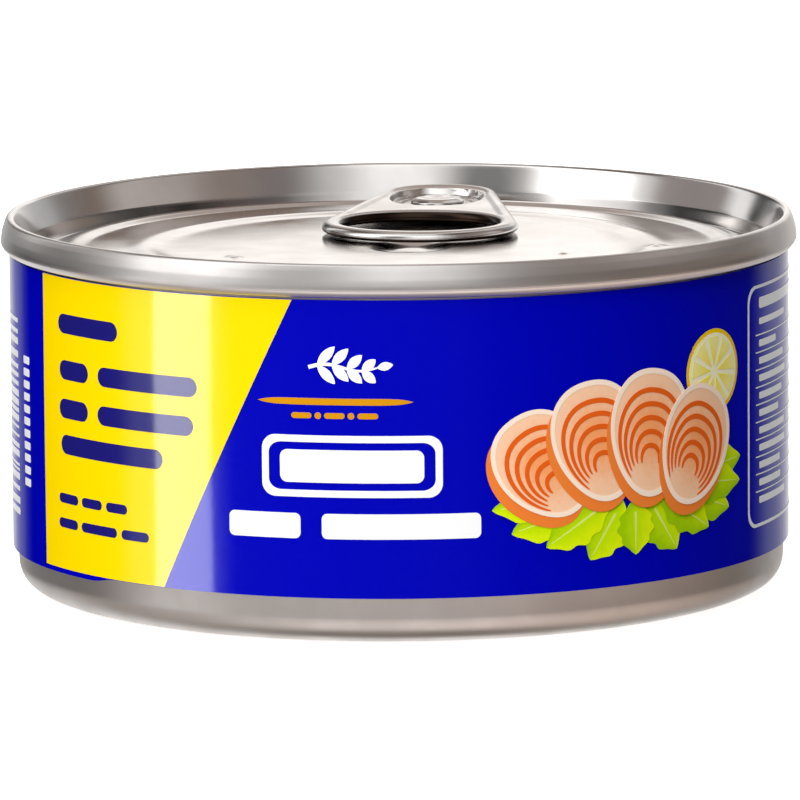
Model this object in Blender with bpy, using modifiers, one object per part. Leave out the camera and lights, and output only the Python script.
"""Shut tuna can: a drawn steel can, an easy-open lid seamed onto it, a riveted ring pull and a wrapped paper label.

Units are metres, +Z is up, and the origin is on the can's axis in the plane that its base ring stands on.
-Y is the middle of the label's front. Running the file clears the scene and builds the can in it.
"""

from math import cos, pi, radians, sin, sqrt

import bmesh
import bpy
from mathutils import Matrix, Vector, geometry

MM = 0.001

# Driving dimensions of the whole can
CAN_HEIGHT = 40.9 * MM
RIM_RADIUS = 43.65 * MM
WALL_RADIUS = 42.25 * MM
CLEARANCE = 0.3 * MM
ROUND_STEPS = 72

# Base: a flat ring that the can stands on, inside a soft corner, round a stepped and recessed panel
CORNER_WIDTH = 4.6 * MM
CORNER_HEIGHT = 3.45 * MM
CORNER_SQUARENESS = 2.5
STAND_WIDTH = 1.7 * MM
BASE_RECESS = 0.9 * MM
BASE_STEP = 0.45 * MM
BASE_STEP_RADIUS = 27.5 * MM

# Double seam, the rolled rim that holds the lid on the can
SEAM_HEIGHT = 3.3 * MM
SEAM_THICKNESS = 1.35 * MM
SEAM_CROWN = 0.62 * MM
SEAM_TUCK = 0.9 * MM

# Lid, in depths below the rim's top: groove beside the rim, panel with a bead near its edge, hidden underside
COUNTERSINK_DEPTH = 4.75 * MM
COUNTERSINK_RADIUS = 39.95 * MM
GROOVE_HALF_WIDTH = 0.8 * MM
PANEL_DEPTH = 3.75 * MM
SHOULDER_RADIUS = 38.2 * MM
BEAD_RADIUS = 36.3 * MM
BEAD_HALF_WIDTH = 1.8 * MM
BEAD_HEIGHT = 0.36 * MM
LID_UNDERSIDE_DEPTH = 5.0 * MM
PLUG_RADIUS = 41.5 * MM

# Rivet, drawn up out of the lid's own metal: its place, seen from above, and its sizes
RIVET_REACH = 29.07 * MM
RIVET_BEARING = radians(-8.7)
SHANK_RADIUS = 1.7 * MM
RIVET_HEAD_RADIUS = 3.0 * MM
RIVET_HEAD_HEIGHT = 0.5 * MM
BOSS_RADIUS = 5.0 * MM
BOSS_HEIGHT = 0.1 * MM

# Ring pull, turned about the rivet; lengths along it run from the ring's front edge towards its nose
TAB_TURN = radians(-6.1)
TAB_LENGTH = 36.4 * MM
TAB_RIVET = 28.2 * MM
RING_HALF_WIDTH = 10.9 * MM
RING_HALF_LENGTH = 9.1 * MM
NOSE_HALF_WIDTH = 6.6 * MM
NOSE_HALF_LENGTH = 6.4 * MM
NOSE_SQUARENESS = 2.4
FINGER_HOLE = (8.65 * MM, 6.75 * MM)
TAB_THICKNESS = (1.05 * MM, 1.5 * MM)
TAB_RISE = (0.2 * MM, 0.6 * MM)
TAB_EDGE = 0.45 * MM
POCKET_CENTRE = 27.7 * MM
POCKET_HALF_LENGTH = 6.4 * MM
POCKET_HALF_WIDTH = 5.4 * MM
WEB_THICKNESS = 0.5 * MM

# Finger well, a shallow dish in the panel that lets a fingertip under the ring
WELL_PLACE = -1.8 * MM
WELL_HALF_AXES = (4.6 * MM, 4.9 * MM)
WELL_DEPTH = 0.55 * MM

# Paper label, wrapped round the wall
LABEL_RADIUS = 42.75 * MM
LABEL_THICKNESS = 0.2 * MM
LABEL_BOTTOM = 5.3 * MM
LABEL_TOP = 37.1 * MM

PANEL_LEVEL = CAN_HEIGHT - PANEL_DEPTH
LID_UNDERSIDE = CAN_HEIGHT - LID_UNDERSIDE_DEPTH
SEAM_BOTTOM = CAN_HEIGHT - SEAM_HEIGHT


def clear_scene():
    """Removes whatever objects the open file holds."""
    for old in list(bpy.data.objects):
        bpy.data.objects.remove(old)


def new_collection(name):
    made = bpy.data.collections.new(name)
    bpy.context.scene.collection.children.link(made)
    return made


def new_material(name, colour, roughness, metallic):
    material = bpy.data.materials.new(name)
    material.use_nodes = True
    shader = material.node_tree.nodes["Principled BSDF"]
    shader.inputs["Base Color"].default_value = (*colour, 1.0)
    shader.inputs["Roughness"].default_value = roughness
    shader.inputs["Metallic"].default_value = metallic
    return material


def new_object(name, data, collection, material=None):
    made = bpy.data.objects.new(name, data)
    collection.objects.link(made)
    if material is not None:
        data.materials.append(material)
    return made


def arc(centre, half_axes, start, end, points):
    """Points (radius, height) along an elliptical arc, in degrees from the outward direction, both ends in."""
    angles = [radians(start + (end - start) * i / (points - 1)) for i in range(points)]
    return [(centre[0] + half_axes[0] * cos(a), centre[1] + half_axes[1] * sin(a)) for a in angles]


def rounded_power(value, squareness):
    """The signed power that turns a circle's cosine or sine into a superellipse's."""
    return (abs(value) ** (2.0 / squareness)) * (1.0 if value >= 0 else -1.0)


def oval(half_width, half_length, centre, squareness, points):
    """Points (x, y) of a superellipse about (0, centre)."""
    outline = []
    for i in range(points):
        angle = 2 * pi * i / points
        across = half_width * rounded_power(cos(angle), squareness)
        outline.append((across, centre + half_length * rounded_power(sin(angle), squareness)))
    return outline


def turned(name, profile, collection, material=None, steps=ROUND_STEPS):
    """A solid of revolution about Z. The profile runs from the axis on top, down the outside, to the axis below."""
    mesh = bpy.data.meshes.new(name)
    edges = [(i, i + 1) for i in range(len(profile) - 1)]
    mesh.from_pydata([(r, 0.0, z) for r, z in profile], edges, [])
    made = new_object(name, mesh, collection, material)
    screw = made.modifiers.new("turn", "SCREW")
    screw.steps = steps
    screw.render_steps = steps
    screw.use_merge_vertices = True
    screw.merge_threshold = 0.00001
    screw.use_smooth_shade = True
    return made


def hide_as_cutter(cutter):
    cutter.hide_render = True
    cutter.display_type = "WIRE"
    return cutter


def boolean(target, other, operation):
    """Adds a live Boolean on target with the hidden object other."""
    modifier = target.modifiers.new(f"{operation.lower()}_{other.name}", "BOOLEAN")
    modifier.operation = operation
    modifier.solver = "EXACT"
    modifier.object = other
    hide_as_cutter(other)


def flat_plate(name, outlines, half_height, edge, collection, material=None):
    """A plate cut to closed outlines, its edges rounded by `edge`, made a welded mesh centred on z = 0."""
    curve = bpy.data.curves.new(name + "_outline", "CURVE")
    curve.dimensions = "2D"
    curve.fill_mode = "BOTH"
    curve.extrude = half_height - edge
    curve.bevel_depth = edge
    curve.bevel_resolution = 2
    curve.offset = -edge
    for outline in outlines:
        spline = curve.splines.new("POLY")
        spline.points.add(len(outline) - 1)
        for point, (x, y) in zip(spline.points, outline):
            point.co = (x, y, 0.0, 1.0)
        spline.use_cyclic_u = True
    source = new_object(name + "_outline", curve, collection)
    bpy.context.view_layer.update()
    evaluated = source.evaluated_get(bpy.context.evaluated_depsgraph_get())
    mesh = bpy.data.meshes.new_from_object(evaluated)
    bpy.data.objects.remove(source)
    welder = bmesh.new()
    welder.from_mesh(mesh)
    bmesh.ops.remove_doubles(welder, verts=welder.verts, dist=0.000005)
    bmesh.ops.recalc_face_normals(welder, faces=welder.faces)
    welder.to_mesh(mesh)
    welder.free()
    mesh.shade_smooth()
    mesh.set_sharp_from_angle(angle=radians(40))
    mesh.name = name
    return new_object(name, mesh, collection, material)


def can_body(parts, steel):
    """The drawn can, shut and so solid to the lid: wall, soft bottom corner, stand ring and stepped base panel."""
    stand_outer = WALL_RADIUS - CORNER_WIDTH
    stand_inner = stand_outer - STAND_WIDTH
    lip_inner = PLUG_RADIUS + CLEARANCE
    lip_top = SEAM_BOTTOM - CLEARANCE
    profile = [(0.0, LID_UNDERSIDE - CLEARANCE), (lip_inner, LID_UNDERSIDE - CLEARANCE)]
    profile += [(lip_inner, lip_top), (WALL_RADIUS, lip_top)]
    corner_points = 9
    for i in range(corner_points):
        angle = -0.5 * pi * i / (corner_points - 1)
        out = rounded_power(cos(angle), CORNER_SQUARENESS)
        down = rounded_power(sin(angle), CORNER_SQUARENESS)
        profile.append((stand_outer + CORNER_WIDTH * out, CORNER_HEIGHT * (1 + down)))
    profile += [(stand_inner, 0.0), (stand_inner - BASE_RECESS, BASE_RECESS)]
    profile += [
        (BASE_STEP_RADIUS + BASE_STEP, BASE_RECESS),
        (BASE_STEP_RADIUS, BASE_RECESS - BASE_STEP),
        (0.0, BASE_RECESS - BASE_STEP),
    ]
    return turned("can_body", profile, parts, steel)


def lid_profile():
    """From the panel's centre out over the bead and groove, over the seam, and back along the flat underside."""
    crown_outer = RIM_RADIUS - SEAM_CROWN
    crown_inner = RIM_RADIUS - SEAM_THICKNESS + SEAM_CROWN
    crown_level = CAN_HEIGHT - SEAM_CROWN
    tuck_radius = RIM_RADIUS - SEAM_TUCK
    groove_bottom = CAN_HEIGHT - COUNTERSINK_DEPTH
    groove_level = groove_bottom + GROOVE_HALF_WIDTH
    profile = [(0.0, PANEL_LEVEL)]
    for i in range(5):
        across = -1 + 2 * i / 4
        rise = BEAD_HEIGHT * 0.5 * (1 + cos(pi * across))
        profile.append((BEAD_RADIUS + across * BEAD_HALF_WIDTH, PANEL_LEVEL + rise))
    profile += arc((SHOULDER_RADIUS, PANEL_LEVEL - 0.5 * MM), (0.6 * MM, 0.5 * MM), 90, 20, 4)
    profile += arc((COUNTERSINK_RADIUS, groove_level), (GROOVE_HALF_WIDTH,) * 2, 200, 350, 6)
    profile += arc((crown_inner, crown_level), (SEAM_CROWN,) * 2, 175, 90, 4)
    profile += arc((crown_outer, crown_level), (SEAM_CROWN,) * 2, 90, 0, 4)
    profile += arc((tuck_radius, SEAM_BOTTOM + SEAM_TUCK), (SEAM_TUCK - 0.12 * MM, SEAM_TUCK), 0, -90, 5)
    profile += [(PLUG_RADIUS, SEAM_BOTTOM), (PLUG_RADIUS, LID_UNDERSIDE), (0.0, LID_UNDERSIDE)]
    return profile


def tab_frame():
    """The matrix that turns and moves the ring pull, drawn along +Y from its front edge, to its place."""
    rivet_place = Matrix.Rotation(RIVET_BEARING, 4, "Z") @ Vector((0.0, RIVET_REACH, 0.0))
    turn = Matrix.Rotation(TAB_TURN, 4, "Z")
    return Matrix.Translation(rivet_place) @ turn @ Matrix.Translation((0.0, -TAB_RIVET, 0.0))


def tab_bottom(along):
    """Height of the ring pull's underside, which rises a little from the ring to the nose."""
    share = along / TAB_LENGTH
    return PANEL_LEVEL + TAB_RISE[0] + share * (TAB_RISE[1] - TAB_RISE[0])


def rivet(cutters):
    """Boss, shank and flattened head, sunk a little into the panel so that the union has one skin."""
    root = PANEL_LEVEL - 0.3 * MM
    boss_top = PANEL_LEVEL + BOSS_HEIGHT
    head_bottom = tab_bottom(TAB_RIVET + RIVET_HEAD_RADIUS) + WEB_THICKNESS + CLEARANCE
    head_top = head_bottom + RIVET_HEAD_HEIGHT
    profile = [(0.0, head_top)]
    profile += arc((RIVET_HEAD_RADIUS - 0.3 * MM, head_top - 0.3 * MM), (0.3 * MM,) * 2, 90, 0, 3)
    profile += [(RIVET_HEAD_RADIUS, head_bottom), (SHANK_RADIUS, head_bottom), (SHANK_RADIUS, boss_top)]
    profile += [(BOSS_RADIUS - BOSS_HEIGHT, boss_top), (BOSS_RADIUS, PANEL_LEVEL), (BOSS_RADIUS, root), (0.0, root)]
    made = turned("rivet", profile, cutters, steps=28)
    made.location = tab_frame() @ Vector((0.0, TAB_RIVET, 0.0))
    return made


def finger_well(cutters):
    """A flattened ball that dishes the panel under the front of the ring."""
    bpy.ops.mesh.primitive_uv_sphere_add(segments=28, ring_count=16, radius=1.0)
    made = bpy.context.object
    for owner in list(made.users_collection):
        owner.objects.unlink(made)
    cutters.objects.link(made)
    made.name = "finger_well"
    lift = 1.5
    reach = 1 / sqrt(1 - (lift / (1 + lift)) ** 2)
    half_axes = (WELL_HALF_AXES[0] * reach, WELL_HALF_AXES[1] * reach, WELL_DEPTH * (1 + lift))
    made.data.transform(Matrix.Diagonal((*half_axes, 1.0)))
    made.matrix_world = Matrix.Translation((0.0, 0.0, PANEL_LEVEL + WELL_DEPTH * lift)) @ tab_frame()
    made.matrix_world = made.matrix_world @ Matrix.Translation((0.0, WELL_PLACE, 0.0))
    return made


def lid(parts, cutters, steel):
    made = turned("lid", lid_profile(), parts, steel)
    boolean(made, rivet(cutters), "UNION")
    boolean(made, finger_well(cutters), "DIFFERENCE")
    return made


def tab_outline():
    """The ring end's ellipse and the nose's squarer one, joined by straight sides."""
    ring_end = oval(RING_HALF_WIDTH, RING_HALF_LENGTH, RING_HALF_LENGTH, 2.0, 48)
    nose = oval(NOSE_HALF_WIDTH, NOSE_HALF_LENGTH, TAB_LENGTH - NOSE_HALF_LENGTH, NOSE_SQUARENESS, 36)
    points = [Vector(p) for p in ring_end + nose]
    return [points[i] for i in geometry.convex_hull_2d(points)]


def ring_pull(parts, cutters, steel):
    """A plate with rounded edges, thicker at its nose, with a finger hole and a sunk web that the rivet holds."""
    hole = oval(*FINGER_HOLE, RING_HALF_LENGTH, 2.1, 32)
    made = flat_plate("ring_pull", [tab_outline(), hole], TAB_THICKNESS[0] / 2, TAB_EDGE, parts, steel)
    for vertex in made.data.vertices:
        share = vertex.co.y / TAB_LENGTH
        thickness = TAB_THICKNESS[0] + share * (TAB_THICKNESS[1] - TAB_THICKNESS[0])
        level = tab_bottom(vertex.co.y) + thickness / 2
        vertex.co.z = level + vertex.co.z * thickness / TAB_THICKNESS[0]
    made.matrix_world = tab_frame()

    pocket_depth = 3 * TAB_THICKNESS[1]
    outline = oval(POCKET_HALF_WIDTH, POCKET_HALF_LENGTH, POCKET_CENTRE, NOSE_SQUARENESS, 28)
    pocket = flat_plate("web_pocket", [outline], pocket_depth / 2, 0.3 * MM, cutters)
    for vertex in pocket.data.vertices:
        vertex.co.z += tab_bottom(vertex.co.y) + WEB_THICKNESS + pocket_depth / 2
    pocket.matrix_world = tab_frame()

    bpy.ops.mesh.primitive_cylinder_add(vertices=28, radius=SHANK_RADIUS + CLEARANCE, depth=4 * TAB_THICKNESS[1])
    shank_hole = bpy.context.object
    for owner in list(shank_hole.users_collection):
        owner.objects.unlink(shank_hole)
    cutters.objects.link(shank_hole)
    shank_hole.name = "shank_hole"
    shank_hole.location = tab_frame() @ Vector((0.0, TAB_RIVET, tab_bottom(TAB_RIVET)))
    boolean(made, pocket, "DIFFERENCE")
    boolean(made, shank_hole, "DIFFERENCE")
    return made


def label(parts, paper):
    """A thin paper tube round the wall, closed at its top and bottom edges."""
    inner = LABEL_RADIUS - LABEL_THICKNESS
    mesh = bpy.data.meshes.new("label")
    ring = [(inner, LABEL_TOP), (LABEL_RADIUS, LABEL_TOP), (LABEL_RADIUS, LABEL_BOTTOM), (inner, LABEL_BOTTOM)]
    edges = [(i, (i + 1) % len(ring)) for i in range(len(ring))]
    mesh.from_pydata([(r, 0.0, z) for r, z in ring], edges, [])
    made = new_object("label", mesh, parts, paper)
    screw = made.modifiers.new("wrap", "SCREW")
    screw.steps = ROUND_STEPS
    screw.render_steps = ROUND_STEPS
    screw.use_merge_vertices = True
    screw.merge_threshold = 0.00001
    return made


def build():
    clear_scene()
    parts = new_collection("tuna_can")
    cutters = new_collection("cutters")
    body_steel = new_material("satin_steel", (0.55, 0.52, 0.49), 0.38, 1.0)
    lid_steel = new_material("bright_steel", (0.72, 0.70, 0.68), 0.16, 1.0)
    paper = new_material("printed_paper", (0.0, 0.02, 0.45), 0.25, 0.0)
    can_body(parts, body_steel)
    lid(parts, cutters, lid_steel)
    ring_pull(parts, cutters, lid_steel)
    label(parts, paper)


build()
